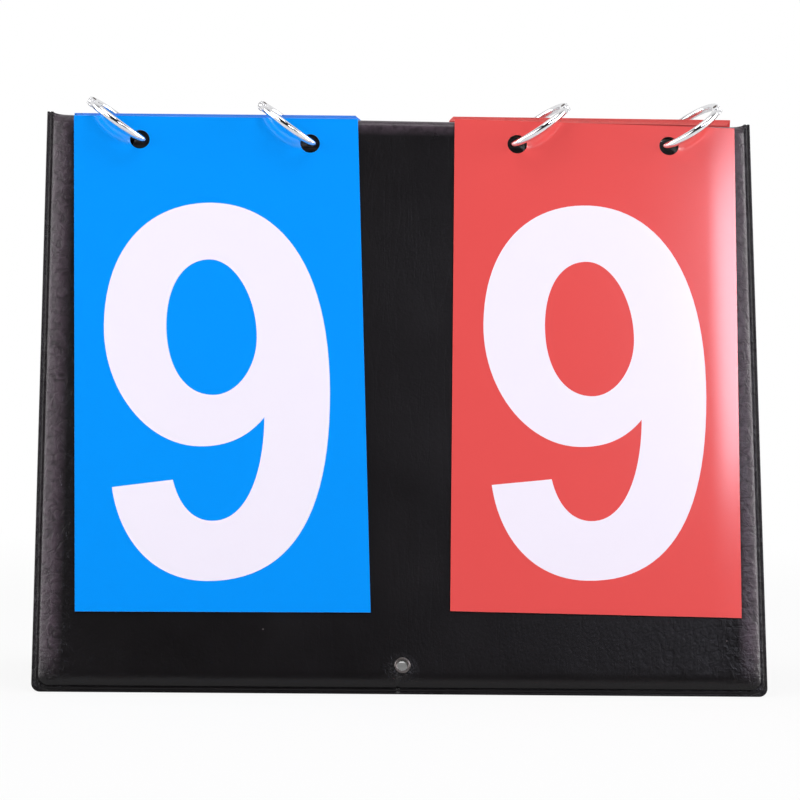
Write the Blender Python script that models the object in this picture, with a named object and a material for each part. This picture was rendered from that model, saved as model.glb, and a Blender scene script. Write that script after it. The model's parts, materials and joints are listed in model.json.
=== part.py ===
"""Tabletop flip scoreboard: a padded leatherette A-frame with two packs of score leaves on book rings.

The board is two stiffened panels joined by a fold at the top. Each panel has a flat lining, a greyboard
stiffener, a thin foam pad and a formed leatherette skin with a welded rim. Four chromed book rings pass
through both panels below the fold. Each side has ten plastic leaves, 0 to 9. Leaf 9 hangs in front, and
leaves 0 to 8 have been turned over the top and hang at the back.

Axes: X to the right as seen from the front, Y to the back, Z up. The floor is Z = 0.
"""

import math

import bmesh
import bpy
from mathutils import Matrix, Vector

MM = 0.001

# Board
BOARD_WIDTH = 210.0 * MM
BOARD_TOP_HEIGHT = 166.2 * MM
PANEL_LEAN = math.radians(15.0)
LINING_THICKNESS = 0.25 * MM
BOARD_THICKNESS = 1.2 * MM
PAD_THICKNESS = 0.4 * MM
SKIN_THICKNESS = 0.5 * MM
LAYER_GAP = 0.1 * MM
FOLDED_HALF_GAP = 0.35 * MM
RIM_WIDTH = 1.8 * MM
GROOVE_DEPTH = 0.15 * MM
SHOULDER_WIDTH = 5.0 * MM
CORNER_RADIUS = 2.5 * MM
BOARD_EDGE_GAP = 1.8 * MM
PAD_EDGE_GAP = 4.6 * MM
TOP_EDGE_GAP = 0.3 * MM
SEAM_GAP = 0.1 * MM

# Fold
FOLD_EAR_HEIGHT = 4.1 * MM
FOLD_STEPS = 14

# Holes for the rings and the stay cord
RING_HOLE_RADIUS = 3.5 * MM
HOLE_SIDES = 16
FRONT_HOLE_DEPTH = 5.0 * MM
BACK_HOLE_DEPTH = 4.2 * MM
EYELET_RISE = 7.7 * MM
EYELET_BORE_RADIUS = 1.55 * MM
EYELET_WALL = 0.25 * MM
EYELET_FLANGE_RADIUS = 2.25 * MM
EYELET_FLANGE_HEIGHT = 0.3 * MM
EYELET_CLEARANCE = 0.1 * MM
EYELET_SIDES = 20

# Leaves
LEAF_WIDTH = 84.0 * MM
LEAF_HEIGHT = 148.5 * MM
LEAF_THICKNESS = 0.3 * MM
LEAF_PITCH = 0.42 * MM
LEAF_HOLE_RADIUS = 2.9 * MM
LEAF_REST_GAP = 0.3 * MM
LEAF_HOLE_SIDES = 16
WIRE_SIDE_SHIFT = 0.8 * MM

# Book rings
RING_RADIUS = 10.3 * MM
WIRE_RADIUS = 1.1 * MM
RING_LEAN = math.radians(55.0)
GATE_HINGE_ANGLE = math.radians(104.0)
GATE_CLASP_ANGLE = math.radians(-10.0)
KNUCKLE_RADIUS = 1.3 * MM
KNUCKLE_CLEARANCE = 0.25 * MM
TONGUE_THICKNESS = 0.7 * MM
TONGUE_GAP = 0.15 * MM
CHEEK_THICKNESS = 0.65 * MM
PLATE_HALF_WIDTH = 0.8 * MM
PLATE_BITE = 0.9 * MM
PIN_RADIUS = 0.38 * MM
PIN_CLEARANCE = 0.1 * MM
PIN_HEAD_RADIUS = 0.75 * MM
PIN_HEAD_HEIGHT = 0.25 * MM
PIN_HEAD_GAP = 0.05 * MM
CLASP_RADIUS = 1.45 * MM
CLASP_LENGTH = 2.0 * MM
CLASP_BORE_RADIUS = 0.65 * MM
CLASP_BORE_DEPTH = 1.4 * MM
CLASP_PEG_RADIUS = 0.42 * MM
CLASP_PEG_LENGTH = 1.0 * MM
CLASP_GAP = 0.3 * MM
WIRE_SIDES = 10
WIRE_STEP = math.radians(11.0)
PIN_SIDES = 12
KNUCKLE_STEP = math.radians(24.0)

# Axes that the leaves turn about, as (Y, Z) from the fold's axis
FRONT_LIFT_AXIS = {"blue": (-3.5 * MM, 2.5 * MM), "red": (-4.0 * MM, 3.25 * MM)}
BACK_LIFT_AXIS = {"blue": (2.5 * MM, 3.0 * MM), "red": (1.0 * MM, 4.5 * MM)}

# The two packs of leaves, 8 mm and 5.1 mm in from the board's sides: place of the pack, its punched holes
# (across and down from the middle of the top edge), how it sits
PACKS = {
    "blue": {
        "centre": 8.0 * MM + LEAF_WIDTH / 2.0 - BOARD_WIDTH / 2.0,
        "top_rise": -0.1 * MM,
        "turn": math.radians(0.3),
        "side_slant": math.radians(1.2),
        "holes": ((-22.5 * MM, 7.2 * MM), (27.8 * MM, 7.8 * MM)),
        "ring_side": -1.0,
        "back_rise": (1.8 * MM, 1.9 * MM),
        "back_hang": (0.6 * MM, 0.5 * MM),
    },
    "red": {
        "centre": BOARD_WIDTH / 2.0 - LEAF_WIDTH / 2.0 - 5.1 * MM,
        "top_rise": 0.1 * MM,
        "turn": math.radians(-0.85),
        "side_slant": 0.0,
        "holes": ((-23.3 * MM, 7.26 * MM), (22.2 * MM, 6.27 * MM)),
        "ring_side": 1.0,
        "back_rise": (2.2 * MM, 2.8 * MM),
        "back_hang": (0.7 * MM, 0.4 * MM),
    },
}
FRONT_LEAF = 9
BACK_LEAVES = range(9)
RING_BACK_LEAF = 7

# Heights of the layers above the panel's inner plane
LINING_FACE = FOLDED_HALF_GAP + LINING_THICKNESS
BOARD_BOTTOM = LINING_FACE + LAYER_GAP
BOARD_FACE = BOARD_BOTTOM + BOARD_THICKNESS
PAD_BOTTOM = BOARD_FACE + LAYER_GAP
PAD_FACE = PAD_BOTTOM + PAD_THICKNESS
SKIN_FACE = PAD_FACE + LAYER_GAP + SKIN_THICKNESS
RIM_FACE = BOARD_BOTTOM + SKIN_THICKNESS
SHOULDER_HEIGHT = SKIN_FACE - RIM_FACE

# The fold's axis lies where the two inner planes meet, and the panels run down from it to the floor
AXIS_HEIGHT = BOARD_TOP_HEIGHT - SKIN_FACE
PANEL_LENGTH = AXIS_HEIGHT / math.cos(PANEL_LEAN)
FOLD_AXIS = Vector((0.0, 0.0, AXIS_HEIGHT))
ACROSS = Vector((1.0, 0.0, 0.0))


def make_material(name, colour, roughness, metallic=0.0):
    """A Principled material in one colour."""
    material = bpy.data.materials.new(name)
    material.use_nodes = True
    shader = material.node_tree.nodes["Principled BSDF"]
    shader.inputs["Base Color"].default_value = (*colour, 1.0)
    shader.inputs["Roughness"].default_value = roughness
    shader.inputs["Metallic"].default_value = metallic
    material.diffuse_color = (*colour, 1.0)
    return material


def make_materials():
    """The finishes of the whole object, by name."""
    return {
        "leatherette": make_material("black_leatherette", (0.011, 0.010, 0.011), 0.42),
        "greyboard": make_material("greyboard", (0.22, 0.19, 0.16), 0.9),
        "foam": make_material("pad_foam", (0.05, 0.05, 0.05), 0.95),
        "chrome": make_material("chromed_wire", (0.75, 0.75, 0.76), 0.12, 1.0),
        "nickel": make_material("nickel_eyelet", (0.35, 0.35, 0.36), 0.35, 1.0),
        "blue": make_material("blue_leaf_plastic", (0.0, 0.32, 1.0), 0.3),
        "red": make_material("red_leaf_plastic", (0.80, 0.08, 0.07), 0.3),
    }


def add_empty(name, place, parent=None):
    """An empty on a joint's axis, which carries the pieces that move with it."""
    empty = bpy.data.objects.new(name, None)
    bpy.context.collection.objects.link(empty)
    empty.empty_display_size = 5.0 * MM
    if parent is not None:
        empty.parent = parent
        empty.matrix_parent_inverse = parent.matrix_world.inverted()
    empty.location = place
    bpy.context.view_layer.update()
    return empty


def add_piece(name, bm, material, parent, origin=None, smooth_angle=None):
    """Make an object from world-space geometry, with its origin on its joint's axis."""
    if origin is None:
        origin = parent.matrix_world.translation if parent else Vector((0.0, 0.0, 0.0))
    bmesh.ops.recalc_face_normals(bm, faces=bm.faces)
    mesh = bpy.data.meshes.new(name)
    bm.to_mesh(mesh)
    bm.free()
    mesh.transform(Matrix.Translation(-Vector(origin)))
    mesh.materials.append(material)
    if smooth_angle is not None:
        mesh.shade_smooth()
        mesh.set_sharp_from_angle(angle=smooth_angle)
    piece = bpy.data.objects.new(name, mesh)
    bpy.context.collection.objects.link(piece)
    if parent is not None:
        piece.parent = parent
        piece.matrix_parent_inverse = parent.matrix_world.inverted()
    piece.location = origin
    bpy.context.view_layer.update()
    return piece


def add_cutter(name, bm, target, operation="DIFFERENCE"):
    """Cut a piece with a guide solid, or join the guide to it, and keep the guide hidden."""
    bmesh.ops.recalc_face_normals(bm, faces=bm.faces)
    mesh = bpy.data.meshes.new(name)
    bm.to_mesh(mesh)
    bm.free()
    cutter = bpy.data.objects.new(name, mesh)
    bpy.context.collection.objects.link(cutter)
    cutter.hide_render = True
    cutter.display_type = "WIRE"
    modifier = target.modifiers.new(name, "BOOLEAN")
    modifier.operation = operation
    modifier.object = cutter
    return cutter


def lathe(profile, frame, sides):
    """A closed turned solid from (radius, height) points that start and end on the axis, turned about frame's Z."""
    bm = bmesh.new()
    rows = []
    for radius, height in profile:
        if radius == 0.0:
            rows.append([bm.verts.new(frame @ Vector((0.0, 0.0, height)))])
            continue
        row = []
        for k in range(sides):
            angle = 2.0 * math.pi * k / sides
            point = Vector((radius * math.cos(angle), radius * math.sin(angle), height))
            row.append(bm.verts.new(frame @ point))
        rows.append(row)
    for low, high in zip(rows, rows[1:]):
        for k in range(sides):
            nxt = (k + 1) % sides
            corners = [low[k % len(low)], low[nxt % len(low)], high[nxt % len(high)], high[k % len(high)]]
            bm.faces.new(list(dict.fromkeys(corners)))
    return bm


def tube_ring(profile, frame, sides):
    """A closed turned solid with a bore, from a closed loop of (radius, height) points."""
    bm = bmesh.new()
    rows = []
    for radius, height in profile:
        row = []
        for k in range(sides):
            angle = 2.0 * math.pi * k / sides
            point = Vector((radius * math.cos(angle), radius * math.sin(angle), height))
            row.append(bm.verts.new(frame @ point))
        rows.append(row)
    for low, high in zip(rows, rows[1:] + rows[:1]):
        for k in range(sides):
            nxt = (k + 1) % sides
            bm.faces.new((low[k], low[nxt], high[nxt], high[k]))
    return bm


# Panels

def panel_frame(back):
    """A panel's own axes: X across, Y up along the panel from the fold's axis, Z out of its show side."""
    up = Vector((0.0, math.sin(PANEL_LEAN), math.cos(PANEL_LEAN)))
    out = Vector((0.0, -math.cos(PANEL_LEAN), math.sin(PANEL_LEAN)))
    frame = Matrix((ACROSS, up, out)).transposed().to_4x4()
    if back:
        frame = Matrix.Rotation(math.pi, 4, "Z") @ frame
    return Matrix.Translation(FOLD_AXIS) @ frame


def rim_outline(inset, height, top):
    """The open outline of a panel at an inset from its edge: down one side, round the foot and up again.

    The foot is cut level with the floor, so its place along the panel changes with the height.
    """
    half = BOARD_WIDTH / 2.0 - inset
    foot = -PANEL_LENGTH - height * math.tan(PANEL_LEAN) + inset
    radius = CORNER_RADIUS + 0.25 * inset
    points = [(-half, -top)]
    steps = 6
    for side in (-1.0, 1.0):
        centre = side * (half - radius)
        for k in range(steps + 1):
            share = k / steps if side < 0.0 else 1.0 - k / steps
            angle = share * math.pi / 2.0
            x = centre + side * radius * math.cos(angle)
            y = foot + radius - radius * math.sin(angle)
            points.append((x, y))
    points.append((half, -top))
    return [(x, y, height) for x, y in points]


def shoulder_profile():
    """The skin's outer face as (inset, height): a flat rim with a welded groove, then a soft shoulder."""
    groove = 0.5 * RIM_WIDTH
    half_groove = 0.14 * RIM_WIDTH
    points = [
        (0.0, RIM_FACE),
        (groove - half_groove, RIM_FACE),
        (groove, RIM_FACE - GROOVE_DEPTH),
        (groove + half_groove, RIM_FACE),
        (RIM_WIDTH, RIM_FACE),
    ]
    steps = 6
    for k in range(1, steps + 1):
        share = 1.0 - math.cos(0.5 * math.pi * k / steps)
        rise = math.sin(0.5 * math.pi * k / steps)
        points.append((RIM_WIDTH + SHOULDER_WIDTH * share, RIM_FACE + SHOULDER_HEIGHT * rise))
    return points


def skin_solid(frame):
    """The formed sheet: its outer face, the same face one thickness lower, and the walls between."""
    bm = bmesh.new()
    outer = []
    inner = []
    for inset, height in shoulder_profile():
        over = rim_outline(inset, height, SEAM_GAP)
        under = rim_outline(inset, max(height, RIM_FACE) - SKIN_THICKNESS, SEAM_GAP)
        outer.append([bm.verts.new(frame @ Vector(p)) for p in over])
        inner.append([bm.verts.new(frame @ Vector(p)) for p in under])
    last = len(outer[0]) - 1
    for rows in (outer, inner):
        for low, high in zip(rows, rows[1:]):
            for j in range(last):
                bm.faces.new((low[j], low[j + 1], high[j + 1], high[j]))
        bm.faces.new(rows[-1])
    for j in range(last):
        bm.faces.new((outer[0][j], outer[0][j + 1], inner[0][j + 1], inner[0][j]))
    for end in (0, last):
        for k in range(len(outer) - 1):
            bm.faces.new((outer[k][end], outer[k + 1][end], inner[k + 1][end], inner[k][end]))
    bm.faces.new((outer[-1][0], outer[-1][last], inner[-1][last], inner[-1][0]))
    return bm


def sheet_solid(frame, inset, low, high, top):
    """A flat layer of the panel between two heights, with the panel's outline at an inset."""
    bm = bmesh.new()
    under = [bm.verts.new(frame @ Vector(p)) for p in rim_outline(inset, low, top)]
    over = [bm.verts.new(frame @ Vector(p)) for p in rim_outline(inset, high, top)]
    count = len(under)
    bm.faces.new(under)
    bm.faces.new(over)
    for j in range(count):
        nxt = (j + 1) % count
        bm.faces.new((under[j], under[nxt], over[nxt], over[j]))
    return bm


def hole_solid(frame, x, y, radius, sides):
    """A round cutter square to a panel, long enough to pass through all its layers."""
    reach = 2.0 * SKIN_FACE
    place = frame @ Matrix.Translation((x, y, -0.5 * reach))
    return lathe([(0.0, 0.0), (radius, 0.0), (radius, 2.0 * reach), (0.0, 2.0 * reach)], place, sides)


def cut_panel_holes(piece, frame, back, eyelet_radius, ring_radius):
    """Punch the four ring holes and the cord's eyelet hole through one layer."""
    side = -1.0 if back else 1.0
    depth = BACK_HOLE_DEPTH if back else FRONT_HOLE_DEPTH
    for number, x in enumerate(ring_places()):
        bm = hole_solid(frame, side * x, -depth, ring_radius, HOLE_SIDES)
        add_cutter(f"{piece.name}_ring_hole_{number}", bm, piece)
    bm = hole_solid(frame, 0.0, EYELET_RISE - PANEL_LENGTH, eyelet_radius, EYELET_SIDES)
    add_cutter(f"{piece.name}_cord_hole", bm, piece)


def ring_places():
    """The places across the board of the four rings, from left to right."""
    return [ring["front"].x for ring in RINGS.values()]


def make_eyelet(name, frame, material, parent):
    """A rolled eyelet: a barrel through the panel, a domed flange outside and a rolled edge inside."""
    bore = EYELET_BORE_RADIUS
    barrel = bore + EYELET_WALL
    edge = EYELET_FLANGE_RADIUS
    face = SKIN_FACE + EYELET_CLEARANCE
    top = face + EYELET_FLANGE_HEIGHT
    inside = FOLDED_HALF_GAP - EYELET_CLEARANCE
    roll = 0.5 * EYELET_CLEARANCE
    profile = [
        (bore, inside),
        (bore + 0.3 * EYELET_WALL, roll),
        (edge - EYELET_WALL, roll),
        (edge, 0.5 * (roll + inside)),
        (edge - EYELET_WALL, inside),
        (barrel, inside),
        (barrel, face),
        (edge - EYELET_WALL, face),
        (edge, face + 0.35 * EYELET_FLANGE_HEIGHT),
        (edge - EYELET_WALL, top - 0.1 * EYELET_FLANGE_HEIGHT),
        (barrel, top),
        (bore, top - 0.35 * EYELET_FLANGE_HEIGHT),
    ]
    place = frame @ Matrix.Translation((0.0, EYELET_RISE - PANEL_LENGTH, 0.0))
    bm = tube_ring(profile, place, EYELET_SIDES)
    return add_piece(name, bm, material, parent, smooth_angle=math.radians(40.0))


def make_panel(side, back, materials, parent):
    """All the layers of one panel, from the lining inside to the skin outside."""
    frame = panel_frame(back)
    barrel = EYELET_BORE_RADIUS + EYELET_WALL + EYELET_CLEARANCE
    top = TOP_EDGE_GAP
    board_inset = RIM_WIDTH + BOARD_EDGE_GAP
    pad_inset = RIM_WIDTH + PAD_EDGE_GAP
    layers = [
        ("lining", sheet_solid(frame, 0.0, FOLDED_HALF_GAP, LINING_FACE, top), "leatherette"),
        ("board", sheet_solid(frame, board_inset, BOARD_BOTTOM, BOARD_FACE, top), "greyboard"),
        ("pad", sheet_solid(frame, pad_inset, PAD_BOTTOM, PAD_FACE, top), "foam"),
        ("skin", skin_solid(frame), "leatherette"),
    ]
    for layer, bm, finish in layers:
        angle = math.radians(35.0) if layer == "skin" else None
        piece = add_piece(f"{side}_{layer}", bm, materials[finish], parent, smooth_angle=angle)
        cut_panel_holes(piece, frame, back, barrel, RING_HOLE_RADIUS)
    make_eyelet(f"{side}_eyelet", frame, materials["nickel"], parent)


def fold_radius(inset_share, angle):
    """How far the folded sheet lies from the fold's axis, at an angle from straight up.

    Over the boards it is round. In the welded rim it runs on straight from both panels to a sharp ear.
    """
    straight = RIM_FACE / math.cos(math.pi / 2.0 - PANEL_LEAN - abs(angle))
    ear = 1.0 / (1.0 / straight ** 8 + 1.0 / FOLD_EAR_HEIGHT ** 8) ** 0.125
    return ear + (SKIN_FACE - ear) * inset_share


def make_fold_strip(material, parent):
    """The leatherette that runs over the top from one panel's skin to the other's."""
    bm = bmesh.new()
    reach = math.pi / 2.0 - PANEL_LEAN
    stations = []
    for inset, height in shoulder_profile():
        share = max(0.0, (height - RIM_FACE) / SHOULDER_HEIGHT)
        stations.append((inset - BOARD_WIDTH / 2.0, share))
    stations += [(-x, share) for x, share in reversed(stations)]
    outer = []
    inner = []
    for x, share in stations:
        over = []
        under = []
        for k in range(FOLD_STEPS + 1):
            angle = reach * (2.0 * k / FOLD_STEPS - 1.0)
            radius = fold_radius(share, angle)
            along = Vector((0.0, math.sin(angle), math.cos(angle)))
            place = FOLD_AXIS + ACROSS * x
            over.append(bm.verts.new(place + along * radius))
            under.append(bm.verts.new(place + along * (radius - SKIN_THICKNESS)))
        outer.append(over)
        inner.append(under)
    for rows in (outer, inner):
        for low, high in zip(rows, rows[1:]):
            for k in range(FOLD_STEPS):
                bm.faces.new((low[k], low[k + 1], high[k + 1], high[k]))
    for over, under in ((outer[0], inner[0]), (outer[-1], inner[-1])):
        for k in range(FOLD_STEPS):
            bm.faces.new((over[k], over[k + 1], under[k + 1], under[k]))
    for k in (0, FOLD_STEPS):
        for j in range(len(outer) - 1):
            bm.faces.new((outer[j][k], outer[j + 1][k], inner[j + 1][k], inner[j][k]))
    return add_piece("fold_strip", bm, material, parent, smooth_angle=math.radians(35.0))


# Leaves and the places of their holes

def leaf_frame(back, level):
    """The axes of a leaf's middle plane: X across, Y up along the panel, Z out of the panel."""
    height = SKIN_FACE + LEAF_REST_GAP + LEAF_THICKNESS / 2.0 + LEAF_PITCH * level
    up = Vector((0.0, math.sin(PANEL_LEAN), math.cos(PANEL_LEAN)))
    out = Vector((0.0, -math.cos(PANEL_LEAN), math.sin(PANEL_LEAN)))
    if back:
        up.y = -up.y
        out.y = -out.y
    frame = Matrix((ACROSS, up, out)).transposed().to_4x4()
    return Matrix.Translation(FOLD_AXIS + out * height) @ frame


def front_leaf_pose(pack):
    """Where the front leaf lies in its plane: its top edge's middle is level with the top of the fold."""
    level = leaf_frame(False, 0)
    rise = (BOARD_TOP_HEIGHT + pack["top_rise"] - level.translation.z) / math.cos(PANEL_LEAN)
    return pack["centre"], rise, pack["turn"]


def place_on_leaf(pose, across, down):
    """A point of a leaf, given from the middle of its top edge, as (x, y) in the leaf's plane."""
    x, y, turn = pose
    return (
        x + across * math.cos(turn) + down * math.sin(turn),
        y + across * math.sin(turn) - down * math.cos(turn),
    )


def ring_axes(front, back, side):
    """A ring's own axes: X from its front hole to its back hole, Y up in its plane, Z square to it."""
    along = (back - front).normalized()
    upright = Vector((0.0, -along.z, along.y))
    up = upright * math.cos(RING_LEAN) + ACROSS * (side * math.sin(RING_LEAN))
    return along, up, along.cross(up)


def ring_data(pack, number):
    """The place of one ring: the point where it enters the front leaf, and its own frame at its centre."""
    plane = leaf_frame(False, 0)
    across, down = pack["holes"][number]
    x, y = place_on_leaf(front_leaf_pose(pack), across, down)
    front = plane @ Vector((x - pack["ring_side"] * WIRE_SIDE_SHIFT, y, 0.0))
    rear = leaf_frame(True, RING_BACK_LEAF)
    height = front.z + pack["back_rise"][number] - rear.translation.z
    back = rear @ Vector((front.x, height / math.cos(PANEL_LEAN), 0.0))
    along, up, square = ring_axes(front, back, pack["ring_side"])
    half = (back - front).length / 2.0
    centre = (front + back) / 2.0 + up * math.sqrt(RING_RADIUS ** 2 - half ** 2)
    frame = Matrix((along, up, square)).transposed().to_4x4()
    return {"front": front, "back": back, "frame": Matrix.Translation(centre) @ frame}


def find_rings():
    """All four rings, from left to right."""
    found = {}
    for colour, pack in PACKS.items():
        for number, place in enumerate(("left", "right")):
            found[f"{colour}_{place}"] = ring_data(pack, number)
    return found


RINGS = find_rings()


def wire_crossing(ring, plane):
    """Where the ring's wire passes through a leaf's plane at the back, in that plane's axes."""
    local = plane.inverted() @ ring["frame"]
    normal = local.row[2].to_3d()
    offset = local.translation.z
    size = RING_RADIUS * math.hypot(normal.x, normal.y)
    lead = math.atan2(normal.y, normal.x)
    spread = math.acos(-offset / size)
    points = []
    for angle in (lead - spread, lead + spread):
        points.append(local @ Vector((RING_RADIUS * math.cos(angle), RING_RADIUS * math.sin(angle), 0.0)))
    return min(points, key=lambda point: point.y)


def back_leaf_pose(colour, level):
    """A leaf at the back hangs on the two wires that pass through its holes."""
    pack = PACKS[colour]
    plane = leaf_frame(True, level)
    (left, left_down), (right, right_down) = pack["holes"]
    ends = [wire_crossing(RINGS[f"{colour}_{place}"], plane) for place in ("left", "right")]
    rows = [end.y - hang for end, hang in zip(ends, pack["back_hang"])]
    fall = (rows[1] - rows[0] + right_down - left_down) / (right - left)
    turn = math.asin(fall)
    shift = place_on_leaf((0.0, 0.0, turn), left, left_down)
    side = pack["ring_side"] * WIRE_SIDE_SHIFT
    return ends[0].x + side - shift[0], rows[0] - shift[1], turn


def leaf_outline(slant):
    """The four corners of a leaf, from the middle of its top edge, as (across, down)."""
    half = LEAF_WIDTH / 2.0
    lean = LEAF_HEIGHT * math.tan(slant)
    return [(-half, 0.0), (half, 0.0), (half + lean, LEAF_HEIGHT), (-half + lean, LEAF_HEIGHT)]


def leaf_solid(pack, pose, plane):
    """A thin leaf with two punched holes, built from its outline with the holes already in it."""
    bm = bmesh.new()
    half = LEAF_THICKNESS / 2.0
    corners = leaf_outline(pack["side_slant"])
    count = LEAF_HOLE_SIDES

    def vertex(across, down, height):
        x, y = place_on_leaf(pose, across, down)
        return bm.verts.new(plane @ Vector((x, y, height)))

    def loop(points):
        return [[vertex(a, d, h) for a, d in points] for h in (-half, half)]

    border = loop(corners)
    holes = []
    for across, down in pack["holes"]:
        points = []
        for k in range(count):
            angle = 2.0 * math.pi * (k + 0.5) / count
            points.append((across + LEAF_HOLE_RADIUS * math.cos(angle), down + LEAF_HOLE_RADIUS * math.sin(angle)))
        holes.append(loop(points))
    for low, high in [border] + holes:
        size = len(low)
        for j in range(size):
            nxt = (j + 1) % size
            bm.faces.new((low[j], low[nxt], high[nxt], high[j]))
    for side in (0, 1):
        edges = []
        for pair in [border] + holes:
            ring = pair[side]
            for j in range(len(ring)):
                edges.append(bm.edges.get((ring[j], ring[(j + 1) % len(ring)])))
        bmesh.ops.triangle_fill(bm, edges=edges, use_beauty=True)
    return bm


def make_leaves(colour, materials, front_parent, spine_parent):
    """Leaf 9 in front and leaves 0 to 8 at the back, each carried by the leaf under it."""
    pack = PACKS[colour]
    y, z = FRONT_LIFT_AXIS[colour]
    pivot = add_empty(f"{colour}_{FRONT_LEAF}_lift_axis", FOLD_AXIS + Vector((0.0, y, z)), front_parent)
    bm = leaf_solid(pack, front_leaf_pose(pack), leaf_frame(False, 0))
    add_piece(f"{colour}_leaf_{FRONT_LEAF}", bm, materials[colour], pivot)
    backs = [RINGS[f"{colour}_{place}"]["back"] for place in ("left", "right")]
    hang = (backs[0] + backs[1]) / 2.0
    carrier = add_empty(f"{colour}_0_hang_axis", Vector((0.0, hang.y, hang.z)), spine_parent)
    y, z = BACK_LIFT_AXIS[colour]
    for level in BACK_LEAVES:
        if level > 0:
            carrier = add_empty(f"{colour}_{level}_lift_axis", FOLD_AXIS + Vector((0.0, y, z)), carrier)
        bm = leaf_solid(pack, back_leaf_pose(colour, level), leaf_frame(True, level))
        add_piece(f"{colour}_leaf_{level}", bm, materials[colour], carrier)


# Rings

def swept_wire(frame, stations):
    """A closed body of round section along the ring's circle, from (angle, radius) stations."""
    bm = bmesh.new()
    rows = []
    for angle, radius in stations:
        out = Vector((math.cos(angle), math.sin(angle), 0.0))
        row = []
        for k in range(WIRE_SIDES):
            turn = 2.0 * math.pi * k / WIRE_SIDES
            point = out * (RING_RADIUS + radius * math.cos(turn)) + Vector((0.0, 0.0, radius * math.sin(turn)))
            row.append(bm.verts.new(frame @ point))
        rows.append(row)
    for low, high in zip(rows, rows[1:]):
        for k in range(WIRE_SIDES):
            nxt = (k + 1) % WIRE_SIDES
            bm.faces.new((low[k], low[nxt], high[nxt], high[k]))
    bm.faces.new(rows[0])
    bm.faces.new(rows[-1])
    return bm


def arc(start, end, step):
    """Angles from one end to the other, both in, evenly spaced and no further apart than the step."""
    count = math.ceil(abs(end - start) / step)
    return [start + (end - start) * k / count for k in range(count + 1)]


def knuckle_plate(frame, towards, low, high):
    """A flat plate between two heights, round about the hinge and straight along the wire to one side."""
    bm = bmesh.new()
    reach = KNUCKLE_RADIUS + KNUCKLE_CLEARANCE + PLATE_BITE
    outline = []
    start = math.asin(PLATE_HALF_WIDTH / KNUCKLE_RADIUS)
    for angle in arc(start, 2.0 * math.pi - start, KNUCKLE_STEP):
        outline.append((towards * KNUCKLE_RADIUS * math.cos(angle), KNUCKLE_RADIUS * math.sin(angle)))
    outline.append((towards * reach, -PLATE_HALF_WIDTH))
    outline.append((towards * reach, PLATE_HALF_WIDTH))
    under = [bm.verts.new(frame @ Vector((x, y, low))) for x, y in outline]
    over = [bm.verts.new(frame @ Vector((x, y, high))) for x, y in outline]
    bm.faces.new(under)
    bm.faces.new(over)
    for j in range(len(outline)):
        nxt = (j + 1) % len(outline)
        bm.faces.new((under[j], under[nxt], over[nxt], over[j]))
    return bm


def hinge_frame(ring):
    """The gate hinge's axes: X along the wire towards the clasp's side of the gate, Z along the pin."""
    angle = GATE_HINGE_ANGLE
    out = Vector((math.cos(angle), math.sin(angle), 0.0))
    along = Vector((math.sin(angle), -math.cos(angle), 0.0))
    local = Matrix((along, out, along.cross(out))).transposed().to_4x4()
    return ring["frame"] @ Matrix.Translation(out * RING_RADIUS) @ local


def hoop_solid(ring):
    """The lower half: from the hinge down through the front holes, under the fold, and up to the clasp."""
    end_gap = (KNUCKLE_RADIUS + KNUCKLE_CLEARANCE) / RING_RADIUS
    clasp = GATE_CLASP_ANGLE + 2.0 * math.pi - 0.5 * CLASP_GAP / RING_RADIUS
    sleeve = clasp - CLASP_LENGTH / RING_RADIUS
    bore = clasp - CLASP_BORE_DEPTH / RING_RADIUS
    taper = (CLASP_RADIUS - WIRE_RADIUS) / RING_RADIUS
    stations = [(a, WIRE_RADIUS) for a in arc(GATE_HINGE_ANGLE + end_gap, sleeve - taper, WIRE_STEP)]
    stations += [
        (sleeve, CLASP_RADIUS),
        (clasp, CLASP_RADIUS),
        (clasp, CLASP_BORE_RADIUS),
        (bore, CLASP_BORE_RADIUS),
    ]
    return swept_wire(ring["frame"], stations)


def gate_solid(ring):
    """The upper half: from the clasp's peg over the top to the hinge."""
    end_gap = (KNUCKLE_RADIUS + KNUCKLE_CLEARANCE) / RING_RADIUS
    face = GATE_CLASP_ANGLE + 0.5 * CLASP_GAP / RING_RADIUS
    tip = face - CLASP_PEG_LENGTH / RING_RADIUS
    stations = [(tip, CLASP_PEG_RADIUS), (face, CLASP_PEG_RADIUS)]
    stations += [(a, WIRE_RADIUS) for a in arc(face, GATE_HINGE_ANGLE - end_gap, WIRE_STEP)]
    return swept_wire(ring["frame"], stations)


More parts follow.
